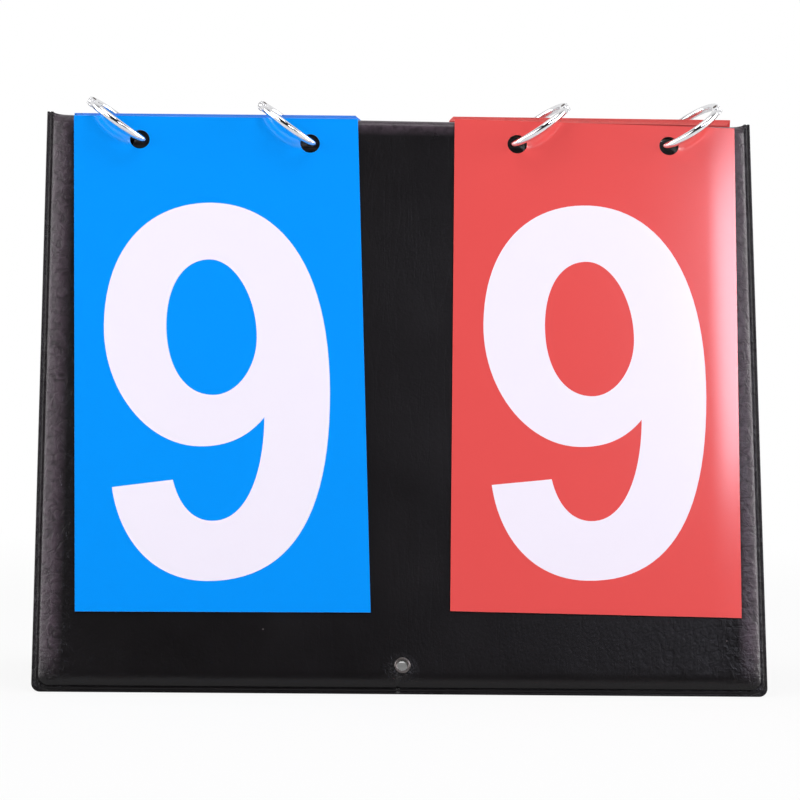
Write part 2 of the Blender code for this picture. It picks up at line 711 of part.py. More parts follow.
def make_ring(name, ring, material, parent):
    """One book ring: the hoop through the holes, the gate that opens, and the pin between them."""
    lean_axis = add_empty(f"{name}_ring_lean_axis", ring["front"], parent)
    hinge = hinge_frame(ring)
    tongue = TONGUE_THICKNESS / 2.0
    cheek = tongue + TONGUE_GAP
    smooth = math.radians(50.0)
    hoop = add_piece(f"{name}_ring_hoop", hoop_solid(ring), material, lean_axis, smooth_angle=smooth)
    for number, side in enumerate((-1.0, 1.0)):
        low, high = sorted((side * cheek, side * (cheek + CHEEK_THICKNESS)))
        plate = knuckle_plate(hinge, -1.0, low, high)
        add_cutter(f"{name}_cheek_{number}", plate, hoop, "UNION")
    hole = PIN_RADIUS + PIN_CLEARANCE
    reach = 3.0 * cheek
    bore = [(0.0, -reach), (hole, -reach), (hole, reach), (0.0, reach)]
    add_cutter(f"{name}_hoop_pin_hole", lathe(bore, hinge, PIN_SIDES), hoop)
    hinge_point = hinge.translation
    gate_axis = add_empty(f"{name}_gate_axis", hinge_point, lean_axis)
    gate = add_piece(f"{name}_ring_gate", gate_solid(ring), material, gate_axis, smooth_angle=smooth)
    add_cutter(f"{name}_tongue", knuckle_plate(hinge, 1.0, -tongue, tongue), gate, "UNION")
    add_cutter(f"{name}_gate_pin_hole", lathe(bore, hinge, PIN_SIDES), gate)
    head = cheek + CHEEK_THICKNESS + PIN_HEAD_GAP
    pin = [
        (0.0, -head - PIN_HEAD_HEIGHT),
        (0.7 * PIN_HEAD_RADIUS, -head - 0.7 * PIN_HEAD_HEIGHT),
        (PIN_HEAD_RADIUS, -head),
        (PIN_RADIUS, -head),
        (PIN_RADIUS, head),
        (PIN_HEAD_RADIUS, head),
        (0.7 * PIN_HEAD_RADIUS, head + 0.7 * PIN_HEAD_HEIGHT),
        (0.0, head + PIN_HEAD_HEIGHT),
    ]
    add_piece(f"{name}_ring_pin", lathe(pin, hinge, PIN_SIDES), material, lean_axis, hinge_point, smooth)


def build():
    """Clear the file and make every piece in its place."""
    for old in list(bpy.data.objects):
        bpy.data.objects.remove(old, do_unlink=True)
    materials = make_materials()
    fold_axis = add_empty("back_panel_fold_axis", FOLD_AXIS)
    spine_axis = add_empty("fold_strip_axis", FOLD_AXIS)
    make_panel("front", False, materials, None)
    make_panel("back", True, materials, fold_axis)
    make_fold_strip(materials["leatherette"], spine_axis)
    for colour in PACKS:
        make_leaves(colour, materials, None, spine_axis)
    for name, ring in RINGS.items():
        make_ring(name, ring, materials["chrome"], spine_axis)


build()
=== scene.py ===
import json
import math

import bpy
from mathutils import Matrix, Vector, noise


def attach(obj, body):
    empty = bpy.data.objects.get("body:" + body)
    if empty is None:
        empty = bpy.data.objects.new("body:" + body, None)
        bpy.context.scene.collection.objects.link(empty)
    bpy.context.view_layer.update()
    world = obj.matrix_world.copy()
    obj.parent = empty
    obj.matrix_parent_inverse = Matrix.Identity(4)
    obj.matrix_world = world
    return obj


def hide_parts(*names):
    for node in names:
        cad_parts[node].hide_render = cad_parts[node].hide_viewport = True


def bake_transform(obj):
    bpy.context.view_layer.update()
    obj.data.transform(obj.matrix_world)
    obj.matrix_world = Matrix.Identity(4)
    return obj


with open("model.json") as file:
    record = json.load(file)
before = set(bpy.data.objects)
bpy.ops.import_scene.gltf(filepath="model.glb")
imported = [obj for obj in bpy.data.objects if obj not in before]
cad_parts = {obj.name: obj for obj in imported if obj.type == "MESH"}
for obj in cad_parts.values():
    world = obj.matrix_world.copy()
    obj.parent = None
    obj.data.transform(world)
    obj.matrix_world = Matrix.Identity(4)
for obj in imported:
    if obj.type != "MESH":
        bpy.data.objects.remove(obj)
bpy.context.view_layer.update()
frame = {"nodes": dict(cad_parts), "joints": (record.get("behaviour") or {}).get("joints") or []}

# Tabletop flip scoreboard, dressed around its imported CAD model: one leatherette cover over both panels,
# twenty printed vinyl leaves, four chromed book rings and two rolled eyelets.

MM = 0.001
JOINTS = {joint["name"]: joint for joint in frame["joints"]}
NODES = frame["nodes"]

# Sizes that repeat the CAD source, in millimetres
BOARD_WIDTH = 210.0
LEAN = math.radians(15.0)
SKIN_FACE = 3.0
SKIN_THICKNESS = 0.5
RIM_FACE = 1.2
RIM_WIDTH = 1.8
SHOULDER_WIDTH = 5.0
GROOVE_DEPTH = 0.15
GROOVE_HALF_WIDTH = 0.25
CORNER_RADIUS = 2.5
EAR_HEIGHT = 4.1
HOLE_RADIUS = 3.5
FRONT_HOLE_DEPTH = 5.0
BACK_HOLE_DEPTH = 4.2
EYELET_RISE = 7.7
EYELET_HOLE_RADIUS = 1.9
LEAF_THICKNESS = 0.3
LEAF_HOLE_RADIUS = 2.9
RING_RADIUS = 10.3
WIRE_RADIUS = 1.1
KNUCKLE_RADIUS = 1.3
PLATE_HALF_WIDTH = 0.8
CHEEK_INSIDE = 0.5
CHEEK_OUTSIDE = 1.15
TONGUE_HALF = 0.35
CLASP_RADIUS = 1.45
CLASP_LENGTH = 2.0
CLASP_HALF_GAP = 0.15
PEG_RADIUS = 0.42
PEG_LENGTH = 1.0

# Where the hinge and the clasp sit round a ring, in degrees up from the side of its back hole
HINGE_ANGLE = 104.0
CLASP_ANGLE = -10.0

FOLD = Vector(JOINTS["panel_fold"]["pos_m"]) / MM
PANEL_LENGTH = FOLD.z / math.cos(LEAN)
RING_NAMES = ("blue_left", "blue_right", "red_left", "red_right")


# Working by hand

def let_go():
    """Leave edit mode and select nothing, so that no operator touches a CAD node."""
    if bpy.context.mode != "OBJECT":
        bpy.ops.object.mode_set(mode="OBJECT")
    bpy.ops.object.select_all(action="DESELECT")


def hold(*pieces):
    """Select these pieces only, with the last one active."""
    let_go()
    for piece in pieces:
        piece.select_set(True)
    bpy.context.view_layer.objects.active = pieces[-1]


def edit(piece):
    """Start edit mode on one piece with nothing selected."""
    hold(piece)
    bpy.ops.object.mode_set(mode="EDIT")
    bpy.ops.mesh.select_all(action="DESELECT")


def last_made(name):
    """Name the piece that was just added."""
    piece = bpy.context.view_layer.objects.active
    piece.name = name
    piece.data.name = name
    return piece


def settle(piece, place=None):
    """Put the piece's own place, and then a further one, into its mesh, with the object at the origin."""
    bpy.context.view_layer.update()
    moved = piece.matrix_world.copy()
    if place is not None:
        moved = place @ moved
    piece.data.transform(moved)
    piece.matrix_world = Matrix.Identity(4)
    if moved.determinant() < 0.0:
        piece.data.flip_normals()
    return piece


def mend(piece, distance=0.0005 * MM):
    """Merge points that lie together and turn all faces outwards."""
    edit(piece)
    bpy.ops.mesh.select_all(action="SELECT")
    bpy.ops.mesh.remove_doubles(threshold=distance)
    bpy.ops.mesh.normals_make_consistent(inside=False)
    let_go()


def finish_with(piece, kind, **settings):
    """Add one modifier and apply it."""
    hold(piece)
    modifier = piece.modifiers.new(kind.title(), kind)
    for key, value in settings.items():
        setattr(modifier, key, value)
    bpy.ops.object.modifier_apply(modifier=modifier.name)


def break_edges(piece, width, segments, degrees):
    """Round the edges where faces meet at more than an angle, by a width in millimetres."""
    finish_with(piece, "BEVEL", width=width * MM, segments=segments, limit_method="ANGLE",
                angle_limit=math.radians(degrees))


def join(*pieces):
    """Make one piece of several. It keeps the last one's name."""
    hold(*pieces)
    bpy.ops.object.join()
    piece = bpy.context.view_layer.objects.active
    let_go()
    return piece


def smooth(piece, degrees):
    """Shade a piece smooth except where its faces meet at more than an angle."""
    hold(piece)
    bpy.ops.object.shade_smooth_by_angle(angle=math.radians(degrees))
    let_go()


def punch(piece, cutters):
    """Cut round holes with one joined set of cutters."""
    cutter = cutters[0] if len(cutters) == 1 else join(*cutters)
    finish_with(piece, "BOOLEAN", operation="DIFFERENCE", object=cutter, solver="MANIFOLD")
    bpy.data.objects.remove(cutter)


def dowel(radius, height, sides, place):
    """A round cutter that stands on a frame's Z axis, from minus to plus half its height."""
    let_go()
    bpy.ops.mesh.primitive_cylinder_add(vertices=sides, radius=radius * MM, depth=height * MM)
    return settle(last_made("dowel"), place)


def turned(name, profile, sides, place):
    """A closed turned body with a bore: one ring of points extruded and scaled along a closed profile."""
    let_go()
    radius, height = profile[0]
    bpy.ops.mesh.primitive_circle_add(vertices=sides, radius=radius * MM, location=(0.0, 0.0, height * MM))
    piece = settle(last_made(name))
    edit(piece)
    bpy.ops.mesh.select_all(action="SELECT")
    for next_radius, next_height in profile[1:] + profile[:1]:
        rise = (0.0, 0.0, (next_height - height) * MM)
        bpy.ops.mesh.extrude_region_move(TRANSFORM_OT_translate={"value": rise})
        share = next_radius / radius
        bpy.ops.transform.resize(value=(share, share, 1.0), center_override=(0.0, 0.0, 0.0))
        radius, height = next_radius, next_height
    let_go()
    mend(piece)
    return settle(piece, place)


# Materials

def linear(text):
    """An sRGB hex value as linear colour."""
    parts = [int(text[k:k + 2], 16) / 255.0 for k in (1, 3, 5)]
    return tuple(c / 12.92 if c <= 0.04045 else ((c + 0.055) / 1.055) ** 2.4 for c in parts) + (1.0,)


def add(tree, kind, inputs=None, **settings):
    """Add one node with its settings, and set or link its inputs by name or number."""
    node = tree.nodes.new("ShaderNode" + kind)
    for key, value in settings.items():
        setattr(node, key, value)
    for key, value in (inputs or {}).items():
        if isinstance(value, bpy.types.NodeSocket):
            tree.links.new(value, node.inputs[key])
        else:
            node.inputs[key].default_value = value
    return node


def new_finish(name, roughness, metallic=0.0, ior=1.5, specular=0.5):
    """A material with its Principled shader and the piece's Object coordinates."""
    material = bpy.data.materials.new(name)
    material.use_nodes = True
    tree = material.node_tree
    shader = tree.nodes["Principled BSDF"]
    shader.inputs["Roughness"].default_value = roughness
    shader.inputs["Metallic"].default_value = metallic
    shader.inputs["IOR"].default_value = ior
    shader.inputs["Specular IOR Level"].default_value = specular
    coords = add(tree, "TexCoord").outputs["Object"]
    return material, tree, shader, coords


def per_mm(width):
    """A texture's scale for a detail of this width in millimetres."""
    return 1.0 / (width * MM)


def leatherette():
    """PVC leathercloth, embossed and heat-formed: soft semi-gloss with a fine pebble grain and stretch creases."""
    material, tree, shader, coords = new_finish("pvc_leathercloth_black", 0.3, ior=1.5, specular=0.32)
    split = add(tree, "SeparateXYZ", {"Vector": coords})
    side = add(tree, "Math", {0: split.outputs["X"]}, operation="ABSOLUTE")
    # the real grain is about 0.3 mm wide and is drawn at 0.75 mm so that it shows
    warp = add(tree, "TexNoise", {"Vector": coords, "Scale": per_mm(2.0), "Detail": 2.0})
    bent = add(tree, "MixRGB", {0: 0.6 * MM, 1: coords, 2: warp.outputs["Color"]}, blend_type="ADD")
    pebble = add(tree, "TexVoronoi", {"Vector": bent.outputs[0], "Scale": per_mm(0.75)}, feature="SMOOTH_F1")
    fine = add(tree, "TexNoise", {"Vector": coords, "Scale": per_mm(0.5), "Detail": 3.0})
    grain = add(tree, "Math", {0: pebble.outputs["Distance"], 1: fine.outputs["Fac"]}, operation="ADD")
    # long shallow creases, about 5 mm apart, run up the panel where the sheet was stretched over the board
    tall = add(tree, "Mapping", {"Vector": coords, "Location": (1.137, 0.713, 0.371), "Scale": (1.0, 0.3, 0.12)})
    crease = add(tree, "TexNoise", {"Vector": tall.outputs[0], "Scale": per_mm(5.0), "Detail": 5.0,
                                    "Distortion": 0.6})
    lines = add(tree, "ValToRGB", {"Fac": crease.outputs["Fac"]})
    lines.color_ramp.elements[0].position = 0.47
    lines.color_ramp.elements[1].position = 0.5
    lines.color_ramp.elements[0].color = (1.0, 1.0, 1.0, 1.0)
    lines.color_ramp.elements[1].color = (0.0, 0.0, 0.0, 1.0)
    dip = lines.color_ramp.elements.new(0.53)
    dip.color = (1.0, 1.0, 1.0, 1.0)
    # wrinkles 2 to 3 mm wide gather at the shoulders and the lower corners
    folds = add(tree, "TexNoise", {"Vector": coords, "Scale": per_mm(2.6), "Detail": 5.0, "Distortion": 1.2})
    near_side = add(tree, "MapRange", {"Value": side.outputs[0], "From Min": 88.0 * MM, "From Max": 100.0 * MM})
    near_foot = add(tree, "MapRange", {"Value": split.outputs["Z"], "From Min": 34.0 * MM, "From Max": 8.0 * MM})
    outer = add(tree, "MapRange", {"Value": side.outputs[0], "From Min": 40.0 * MM, "From Max": 100.0 * MM,
                                   "To Min": 0.06, "To Max": 0.35})
    corner = add(tree, "Math", {0: near_foot.outputs[0], 1: outer.outputs[0]}, operation="MULTIPLY")
    place = add(tree, "Math", {0: near_side.outputs[0], 1: corner.outputs[0]}, operation="MAXIMUM")
    gathered = add(tree, "Math", {0: folds.outputs["Fac"], 1: place.outputs[0]}, operation="MULTIPLY")
    # fine gathers lie across the side shoulders, where the sheet is pulled over the edge
    level = add(tree, "Mapping", {"Vector": coords, "Location": (0.271, 0.613, 0.157), "Scale": (0.14, 0.14, 1.0)})
    across = add(tree, "TexNoise", {"Vector": level.outputs[0], "Scale": per_mm(1.3), "Detail": 4.0, "Distortion": 0.3})
    sparse = add(tree, "TexNoise", {"Vector": coords, "Scale": per_mm(26.0), "Detail": 1.0})
    some = add(tree, "MapRange", {"Value": sparse.outputs["Fac"], "From Min": 0.42, "From Max": 0.6,
                                  "To Min": 0.15, "To Max": 0.7})
    beside = add(tree, "MapRange", {"Value": side.outputs[0], "From Min": 93.0 * MM, "From Max": 98.5 * MM})
    drawn_over = add(tree, "Math", {0: across.outputs["Fac"], 1: beside.outputs[0]}, operation="MULTIPLY")
    drawn_over = add(tree, "Math", {0: drawn_over.outputs[0], 1: some.outputs[0]}, operation="MULTIPLY")
    gathered = add(tree, "Math", {0: gathered.outputs[0], 1: drawn_over.outputs[0]}, operation="ADD")
    # the sheet is drawn in round the front eyelet, and one crease runs from there to the foot
    by_eyelet = (-0.9 * MM, -44.5 * MM, 6.2 * MM)
    spot = add(tree, "VectorMath", {0: coords, 1: by_eyelet}, operation="DISTANCE")
    around = add(tree, "MapRange", {"Value": spot.outputs["Value"], "From Min": 5.8 * MM, "From Max": 1.8 * MM})
    drawn = add(tree, "TexNoise", {"Vector": coords, "Scale": per_mm(1.1), "Detail": 3.0, "Distortion": 1.0})
    pucker = add(tree, "Math", {0: drawn.outputs["Fac"], 1: around.outputs[0]}, operation="MULTIPLY")
    aside = add(tree, "Math", {0: split.outputs["X"], 1: 1.2 * MM}, operation="ADD")
    aside = add(tree, "Math", {0: aside.outputs[0]}, operation="ABSOLUTE")
    narrow = add(tree, "MapRange", {"Value": aside.outputs[0], "From Min": 0.6 * MM, "From Max": 0.0})
    below = add(tree, "MapRange", {"Value": split.outputs["Z"], "From Min": 6.2 * MM, "From Max": 4.8 * MM})
    in_front = add(tree, "Math", {0: split.outputs["Y"], 1: 0.0}, operation="LESS_THAN")
    pressed = add(tree, "Math", {0: narrow.outputs[0], 1: below.outputs[0]}, operation="MULTIPLY")
    pressed = add(tree, "Math", {0: pressed.outputs[0], 1: in_front.outputs[0]}, operation="MULTIPLY")
    raised = add(tree, "Math", {0: gathered.outputs[0], 1: pucker.outputs[0]}, operation="ADD")
    raised = add(tree, "Math", {0: raised.outputs[0], 1: pressed.outputs[0]}, operation="SUBTRACT")
    coarse = add(tree, "Bump", {"Strength": 0.6, "Distance": 0.6 * MM, "Height": raised.outputs[0]})
    creased = add(tree, "Bump", {"Strength": 0.16, "Distance": 0.04 * MM, "Height": lines.outputs["Color"],
                                 "Normal": coarse.outputs[0]})
    grained = add(tree, "Bump", {"Strength": 0.5, "Distance": 0.028 * MM, "Height": grain.outputs[0],
                                 "Normal": creased.outputs[0]})
    tree.links.new(grained.outputs[0], shader.inputs["Normal"])
    # worn shine varies softly over the sheet
    shine = add(tree, "TexNoise", {"Vector": coords, "Scale": per_mm(22.0), "Detail": 4.0})
    rough = add(tree, "MapRange", {"Value": shine.outputs["Fac"], "To Min": 0.24, "To Max": 0.36})
    tree.links.new(rough.outputs[0], shader.inputs["Roughness"])
    tone = add(tree, "MixRGB", {0: shine.outputs["Fac"], 1: linear("#0b090a"), 2: linear("#120f11")})
    # painted highlight: over the side shoulders and the round of the fold, where lamps catch the curved sheet, the base
    # colour is made a little paler in streaks. It is mostly kept off the welded rim and fades out near the foot.
    shoulder_highlight_mask = add(tree, "MapRange", {"Value": side.outputs[0], "From Min": 96.5 * MM, "From Max": 99.5 * MM})
    fold_highlight_mask = add(tree, "MapRange", {"Value": split.outputs["Z"], "From Min": 161.5 * MM, "From Max": 164.5 * MM})
    rim = add(tree, "MapRange", {"Value": side.outputs[0], "From Min": 102.6 * MM, "From Max": 103.2 * MM,
                                 "To Min": 1.0, "To Max": 0.15})
    painted_highlight_mask = add(tree, "Math", {0: shoulder_highlight_mask.outputs[0], 1: fold_highlight_mask.outputs[0]}, operation="MAXIMUM")
    painted_highlight_mask = add(tree, "Math", {0: painted_highlight_mask.outputs[0], 1: rim.outputs[0]}, operation="MULTIPLY")
    highlight_above_foot = add(tree, "MapRange", {"Value": split.outputs["Z"], "From Min": 3.0 * MM, "From Max": 14.0 * MM})
    painted_highlight_mask = add(tree, "Math", {0: painted_highlight_mask.outputs[0], 1: highlight_above_foot.outputs[0]}, operation="MULTIPLY")
    highlight_streaks = add(tree, "MapRange", {"Value": folds.outputs["Fac"], "From Min": 0.3, "From Max": 0.6,
                                     "To Min": 0.35, "To Max": 1.0})
    painted_highlight = add(tree, "Math", {0: painted_highlight_mask.outputs[0], 1: highlight_streaks.outputs[0]}, operation="MULTIPLY")
    # the pale grey-purple of the painted highlight is mixed into the base colour here
    tone = add(tree, "MixRGB", {0: painted_highlight.outputs[0], 1: tone.outputs[0], 2: linear("#473c44")})
    # a few specks of dust lie on the black
    dust = add(tree, "TexVoronoi", {"Vector": coords, "Scale": per_mm(9.0)}, feature="F1")
    speck = add(tree, "Math", {0: dust.outputs["Distance"], 1: 0.022}, operation="LESS_THAN")
    dusted = add(tree, "MixRGB", {0: speck.outputs[0], 1: tone.outputs[0], 2: linear("#5a5354")})
    tree.links.new(dusted.outputs[0], shader.inputs["Base Color"])
    return material


def lining_vinyl():
    """Calendered vinyl lining: flat and matt, with a faint linen emboss."""
    material, tree, shader, coords = new_finish("calendered_vinyl_lining", 0.6, specular=0.35)
    upright = add(tree, "TexWave", {"Vector": coords, "Scale": per_mm(6.0), "Distortion": 1.5, "Detail": 2.0},
                  bands_direction="X")
    level = add(tree, "TexWave", {"Vector": coords, "Scale": per_mm(6.0), "Distortion": 1.5, "Detail": 2.0},
                bands_direction="Z")
    linen = add(tree, "Math", {0: upright.outputs["Fac"], 1: level.outputs["Fac"]}, operation="MULTIPLY")
    bump = add(tree, "Bump", {"Strength": 0.4, "Distance": 0.04 * MM, "Height": linen.outputs[0]})
    tree.links.new(bump.outputs[0], shader.inputs["Normal"])
    cloud = add(tree, "TexNoise", {"Vector": coords, "Scale": per_mm(15.0), "Detail": 4.0})
    tone = add(tree, "MixRGB", {0: cloud.outputs["Fac"], 1: linear("#171516"), 2: linear("#232021")})
    tree.links.new(tone.outputs[0], shader.inputs["Base Color"])
    return material


def greyboard():
    """Pressed waste-paper board: matt grey-brown with short fibres."""
    material, tree, shader, coords = new_finish("pressed_greyboard", 0.92, specular=0.2)
    fibre = add(tree, "TexNoise", {"Vector": coords, "Scale": per_mm(0.8), "Detail": 6.0, "Distortion": 2.0})
    tone = add(tree, "MixRGB", {0: fibre.outputs["Fac"], 1: linear("#6b645c"), 2: linear("#8f877c")})
    tree.links.new(tone.outputs[0], shader.inputs["Base Color"])
    bump = add(tree, "Bump", {"Strength": 0.5, "Distance": 0.05 * MM, "Height": fibre.outputs["Fac"]})
    tree.links.new(bump.outputs[0], shader.inputs["Normal"])
    return material


def foam():
    """Thin black polyurethane foam: matt, open-celled."""
    material, tree, shader, coords = new_finish("polyurethane_foam", 0.97, specular=0.1)
    cells = add(tree, "TexVoronoi", {"Vector": coords, "Scale": per_mm(0.6)})
    tone = add(tree, "MixRGB", {0: cells.outputs["Distance"], 1: linear("#1c1c1d"), 2: linear("#3a3a3c")})
    tree.links.new(tone.outputs[0], shader.inputs["Base Color"])
    bump = add(tree, "Bump", {"Strength": 0.7, "Distance": 0.1 * MM, "Height": cells.outputs["Distance"]})
    tree.links.new(bump.outputs[0], shader.inputs["Normal"])
    return material


def vinyl(name, colour, shade):
    """Screen-printed rigid vinyl sheet: flat strong colour under a smooth sheen, with faint roller ripple."""
    material, tree, shader, coords = new_finish(name, 0.14, ior=1.52, specular=0.85)
    cloud = add(tree, "TexNoise", {"Vector": coords, "Scale": per_mm(30.0), "Detail": 3.0})
    tone = add(tree, "MixRGB", {0: cloud.outputs["Fac"], 1: linear(colour), 2: linear(shade)})
    tree.links.new(tone.outputs[0], shader.inputs["Base Color"])
    ripple = add(tree, "TexNoise", {"Vector": coords, "Scale": per_mm(9.0), "Detail": 2.0})
    fine = add(tree, "TexNoise", {"Vector": coords, "Scale": per_mm(0.5), "Detail": 2.0})
    both = add(tree, "Math", {0: ripple.outputs["Fac"], 1: fine.outputs["Fac"]}, operation="ADD")
    bump = add(tree, "Bump", {"Strength": 0.06, "Distance": 0.02 * MM, "Height": both.outputs[0]})
    tree.links.new(bump.outputs[0], shader.inputs["Normal"])
    rough = add(tree, "MapRange", {"Value": fine.outputs["Fac"], "To Min": 0.11, "To Max": 0.16})
    tree.links.new(rough.outputs[0], shader.inputs["Roughness"])
    return material


def cut_edge(name, colour, shade):
    """The sheet where it is cut: paler than its printed face, the thin light line round a leaf and its holes."""
    material, tree, shader, coords = new_finish(name, 0.45, ior=1.52)
    cut = add(tree, "TexNoise", {"Vector": coords, "Scale": per_mm(0.4), "Detail": 3.0})
    tone = add(tree, "MixRGB", {0: cut.outputs["Fac"], 1: linear(colour), 2: linear(shade)})
    tree.links.new(tone.outputs[0], shader.inputs["Base Color"])
    return material


def chrome():
    """Chrome plate on drawn steel wire: a clear mirror with faint draw marks."""
    material, tree, shader, coords = new_finish("chrome_plate", 0.07, metallic=1.0)
    marks = add(tree, "TexNoise", {"Vector": coords, "Scale": per_mm(0.6), "Detail": 5.0})
    rough = add(tree, "MapRange", {"Value": marks.outputs["Fac"], "To Min": 0.04, "To Max": 0.13})
    tree.links.new(rough.outputs[0], shader.inputs["Roughness"])
    tone = add(tree, "MixRGB", {0: marks.outputs["Fac"], 1: linear("#dcdcde"), 2: linear("#f4f4f6")})
    tree.links.new(tone.outputs[0], shader.inputs["Base Color"])
    return material


def nickel():
    """Nickel-plated brass, rolled and set: soft metal sheen with darker setting marks."""
    material, tree, shader, coords = new_finish("nickel_plated_brass", 0.3, metallic=1.0)
    marks = add(tree, "TexNoise", {"Vector": coords, "Scale": per_mm(1.2), "Detail": 4.0})
    tone = add(tree, "MixRGB", {0: marks.outputs["Fac"], 1: linear("#4c4644"), 2: linear("#8f8886")})
    tree.links.new(tone.outputs[0], shader.inputs["Base Color"])
    rough = add(tree, "MapRange", {"Value": marks.outputs["Fac"], "To Min": 0.22, "To Max": 0.42})
    tree.links.new(rough.outputs[0], shader.inputs["Roughness"])
    return material


def rivet_steel():
    """Bare steel of a peened rivet: darker than the plate, with a brown tarnish."""
    material, tree, shader, coords = new_finish("peened_rivet_steel", 0.35, metallic=1.0)
    marks = add(tree, "TexNoise", {"Vector": coords, "Scale": per_mm(0.5), "Detail": 4.0})
    tone = add(tree, "MixRGB", {0: marks.outputs["Fac"], 1: linear("#3b3230"), 2: linear("#7d7471")})
    tree.links.new(tone.outputs[0], shader.inputs["Base Color"])
    rough = add(tree, "MapRange", {"Value": marks.outputs["Fac"], "To Min": 0.25, "To Max": 0.5})
    tree.links.new(rough.outputs[0], shader.inputs["Roughness"])
    return material


LEATHER = leatherette()
LINING = lining_vinyl()
BOARD = greyboard()
FOAM = foam()
BLUE = vinyl("screen_printed_vinyl_blue", "#0098ff", "#0096fd")
RED = vinyl("screen_printed_vinyl_red", "#e75250", "#ea5553")
INK = vinyl("white_screen_ink", "#faf3ff", "#f8f1fe")
BLUE_EDGE = cut_edge("cut_vinyl_blue", "#2f78dc", "#86acec")
RED_EDGE = cut_edge("cut_vinyl_red", "#e2504a", "#ef8983")
CHROME = chrome()
NICKEL = nickel()
RIVET = rivet_steel()


# Cover

# The cover's points on the flat of a panel: steps across and up, in millimetres
COLUMN_STEP = 1.75
ROW_STEP = 1.9

# Their last row lies this far under the fold's axis, and no point of a panel comes nearer to it than the second
TOP_GAP = 0.4
TOP_CLEARANCE = 0.25

# The fold turns this far each way from its middle, in this many steps
FOLD_REACH = math.pi / 2.0 - LEAN
FOLD_STEPS = 9

# The panel's unevenness fades in over this width under the fold
FADE_WIDTH = 12.0

# Length of the cutters for the ring holes and the eyelets, enough for one panel
DOWEL_LENGTH = 12.0


def panel_axes(back):
    """A panel's own frame: X across, Y up along the panel from the fold, Z out of its show side."""
    up = Vector((0.0, math.sin(LEAN), math.cos(LEAN)))
    out = Vector((0.0, -math.cos(LEAN), math.sin(LEAN)))
    axes = Matrix((Vector((1.0, 0.0, 0.0)), up, out)).transposed().to_4x4()
    if back:
        axes = Matrix.Rotation(math.pi, 4, "Z") @ axes
    return Matrix.Translation(FOLD * MM) @ axes


def rise_over_board(inset):
    """Share of the padded height at an inset from the rim's edge: none on the rim, all past the shoulder."""
    share = min(1.0, max(0.0, (inset - RIM_WIDTH) / SHOULDER_WIDTH))
    return math.sqrt(1.0 - (1.0 - share) ** 2)


def rim_face(inset):
    """The welded rim's height: a rounded edge and one pressed groove."""
    groove = max(0.0, 1.0 - abs(inset - 0.5 * RIM_WIDTH) / GROOVE_HALF_WIDTH)
    edge = max(0.0, 1.0 - inset / 0.15)
    return RIM_FACE - GROOVE_DEPTH * groove - 0.12 * edge * edge


def cover_face(inset):
    """The cover's outer height over the panel's inner plane."""
    share = rise_over_board(inset)
    return rim_face(inset) + (SKIN_FACE - rim_face(inset)) * share


def round_corner(across, along):
    """Insets near a foot corner, drawn in along a rounded ring in place of a square one."""
    ring = min(across, along)
    run = max(across, along) - ring
    radius = (CORNER_RADIUS + 0.25 * ring) * min(1.0, max(0.0, 1.5 - ring / 16.0))
    if run >= radius:
        return across, along
    angle = 0.25 * math.pi * (1.0 - run / radius)
    near = ring + radius * (1.0 - math.cos(angle))
    far = ring + radius * (1.0 - math.sin(angle))
    return (near, far) if across < along else (far, near)


def edge_insets():
    """Insets from the rim's edge to the foot of the padded face, close together where the form is tight."""
    rim = [0.0, 0.05, 0.15, 0.4, 0.65, 0.78, 0.9, 1.02, 1.15, 1.45, 1.7, 1.8]
    steps = 12
    shoulder = [RIM_WIDTH + SHOULDER_WIDTH * (1.0 - math.cos(0.5 * math.pi * k / steps)) for k in range(1, steps + 1)]
    return rim + shoulder


def inner_steps(start, end, step):
    """Even places between two insets, ends left out."""
    count = round((end - start) / step)
    return [start + (end - start) * k / count for k in range(1, count)]


def soft_face(point, inset):
    """Small hand-made unevenness of the padded face, in millimetres: slow over all, quicker by the shoulder."""
    share = rise_over_board(inset)
    slow = noise.noise(point * 0.045) * 0.04
    quick = noise.noise(point * 0.16 + Vector((7.0, 3.0, 1.0))) * 0.07
    tight = math.exp(-((inset - SHOULDER_WIDTH) / 4.0) ** 2)
    return share * (slow + quick * tight)


def fold_point(sign, side, turn):
    """A point of the cover over the fold, round over the padded part and drawn up to an ear at the rim."""
    # where the two rims meet they would come to a point, which is rounded off below the ear's height
    straight = rim_face(side) / math.cos(FOLD_REACH - abs(turn))
    ear = (straight ** -8.0 + EAR_HEIGHT ** -8.0) ** -0.125
    radius = ear + (SKIN_FACE - ear) * rise_over_board(side)
    return FOLD + Vector((sign * (BOARD_WIDTH / 2.0 - side), radius * math.sin(turn), radius * math.cos(turn)))


def panel_point(sign, side, row, back):
    """A point of the cover over one panel, in the panel's own frame, with the foot cut level to stand flat."""
    across, along = round_corner(side, row)
    inset = min(side, row)
    height = cover_face(inset)
    foot = -PANEL_LENGTH - height * math.tan(LEAN)
    point = Vector((sign * (BOARD_WIDTH / 2.0 - across), min(foot + along, -TOP_CLEARANCE), height))
    fade = min(1.0, (PANEL_LENGTH - row) / FADE_WIDTH)
    point.z += soft_face(Vector((point.x, point.y, 90.0 if back else 0.0)), inset) * fade
    if back:
        point.x = -point.x
    return point


